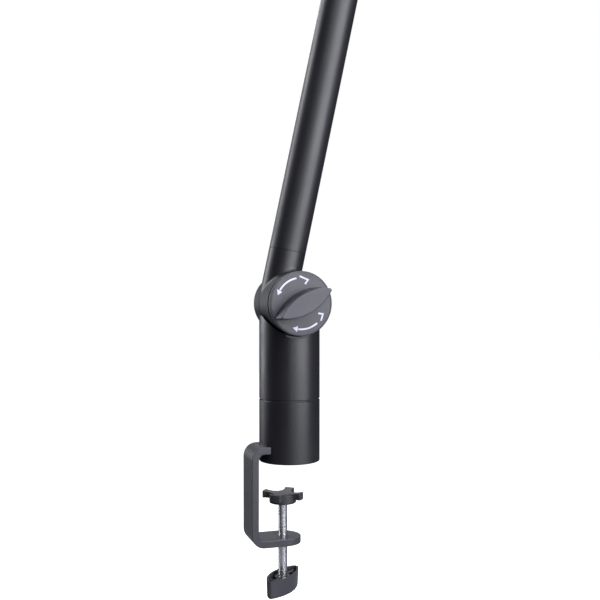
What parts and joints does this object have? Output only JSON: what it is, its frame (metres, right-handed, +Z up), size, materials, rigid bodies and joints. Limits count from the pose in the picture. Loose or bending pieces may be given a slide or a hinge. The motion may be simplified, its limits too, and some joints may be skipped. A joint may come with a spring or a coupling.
{
  "type": "boom microphone stand",
  "caption": "Desk-clamp boom arm for a microphone: swivelling column, two tubular arms with friction hinges and tightening knobs, and a tilting threaded head.",
  "frame": {"origin": "centre of the base's round underside, on the desk's top face", "axes": "+Z up, +X from the clamp's upright bar towards the desk and the way the arms lean, -Y the side of the tightening knobs"},
  "size_m": [0.5311, 0.076, 0.7181],
  "materials": {
    "cast_black": "satin black powder coat on a die casting",
    "bar_black": "satin black powder coat on flat steel bar",
    "tube_black": "satin black, brushed lengthwise and coated",
    "knob_plastic": "finely textured black moulding",
    "handle_plastic": "satin black moulding",
    "pad_rubber": "firm black rubber",
    "zinc_steel": "bright zinc plate",
    "black_screws": "black oxide",
    "spring_steel": "oiled spring steel",
    "bearing_plastic": "natural acetal",
    "brass": "turned brass",
    "stud_steel": "nickel plate"
  },
  "bodies": {
    "base": {"base_housing": "cast_black", "base_foot_pad": "pad_rubber", "clamp_bracket": "bar_black", "bracket_screws": "zinc_steel", "spindle": "zinc_steel", "spindle_bolt": "zinc_steel", "spindle_washer": "zinc_steel", "spindle_nut": "zinc_steel", "swivel_washer": "knob_plastic"},
    "pad": {"clamp_pad": "pad_rubber"},
    "screw": {"clamp_rod": "zinc_steel", "clamp_handle": "handle_plastic", "pad_ring": "zinc_steel"},
    "column": {"column_housing": "cast_black", "bush_lower": "bearing_plastic", "bush_upper": "bearing_plastic", "base_hinge_bolt": "zinc_steel", "base_hinge_cap": "knob_plastic", "base_anchor_pin": "zinc_steel"},
    "base_knob": {"base_knob": "knob_plastic", "base_knob_insert": "brass"},
    "lower_arm": {"lower_arm_foot": "cast_black", "lower_tube": "tube_black", "lower_tube_screws": "black_screws", "lower_arm_head": "cast_black", "lower_spring": "spring_steel", "lower_spring_pin": "zinc_steel", "lower_balance_cable": "spring_steel", "base_friction_ring": "bearing_plastic", "base_knob_washer": "zinc_steel", "elbow_hinge_bolt": "zinc_steel", "elbow_hinge_cap": "knob_plastic", "elbow_anchor_pin": "zinc_steel"},
    "elbow_knob": {"elbow_knob": "knob_plastic", "elbow_knob_insert": "brass"},
    "upper_arm": {"upper_arm_foot": "cast_black", "upper_tube": "tube_black", "upper_tube_screws": "black_screws", "upper_arm_tip": "cast_black", "upper_spring": "spring_steel", "upper_spring_pin": "zinc_steel", "upper_balance_cable": "spring_steel", "elbow_friction_ring": "bearing_plastic", "elbow_knob_washer": "zinc_steel"},
    "mic_head": {"mic_clevis": "cast_black", "mic_stud": "stud_steel", "head_bolt": "zinc_steel", "head_washers": "bearing_plastic"},
    "head_knob": {"head_knob": "knob_plastic", "head_knob_insert": "brass"}
  },
  "joints": [
    {"name": "column_swivel", "type": "hinge", "parent": "base", "child": "column", "pos_m": [0, 0, 0.0538], "axis": [0, 0, 1], "continuous": true},
    {"name": "lower_arm_tilt", "type": "hinge", "parent": "column", "child": "lower_arm", "pos_m": [0, 0, 0.135], "axis": [0, 1, 0], "range_deg": [-45, 72], "deforming": ["lower_balance_cable"]},
    {"name": "elbow_tilt", "type": "hinge", "parent": "lower_arm", "child": "upper_arm", "pos_m": [0.08419, 0, 0.52604], "axis": [0, 1, 0], "range_deg": [-70, 60], "deforming": ["upper_balance_cable"]},
    {"name": "head_tilt", "type": "hinge", "parent": "upper_arm", "child": "mic_head", "pos_m": [0.47909, 0.005, 0.59048], "axis": [0, 1, 0], "range_deg": [-200, 5]},
    {"name": "base_knob_turn", "type": "hinge", "parent": "column", "child": "base_knob", "pos_m": [0, -0.0244, 0.135], "axis": [0, -1, 0], "range_deg": [-30, 180]},
    {"name": "elbow_knob_turn", "type": "hinge", "parent": "lower_arm", "child": "elbow_knob", "pos_m": [0.08419, -0.0244, 0.52604], "axis": [0, -1, 0], "range_deg": [-30, 180]},
    {"name": "head_knob_turn", "type": "hinge", "parent": "mic_head", "child": "head_knob", "pos_m": [0.47909, -0.0082, 0.59048], "axis": [0, -1, 0], "range_deg": [-30, 180]},
    {"name": "pad_travel", "type": "slide", "parent": "base", "child": "pad", "axis": [0, 0, 1], "range_m": [-0.0275, 0.0255]},
    {"name": "screw_turn", "type": "hinge", "parent": "pad", "child": "screw", "pos_m": [-0.006, 0, -0.0357], "axis": [0, 0, 1], "range_deg": [-7920, 7344]}
  ],
  "couplings": [
    {"joint": "screw_turn", "follows": "pad_travel", "rad_per_m": 5026.5}
  ]
}
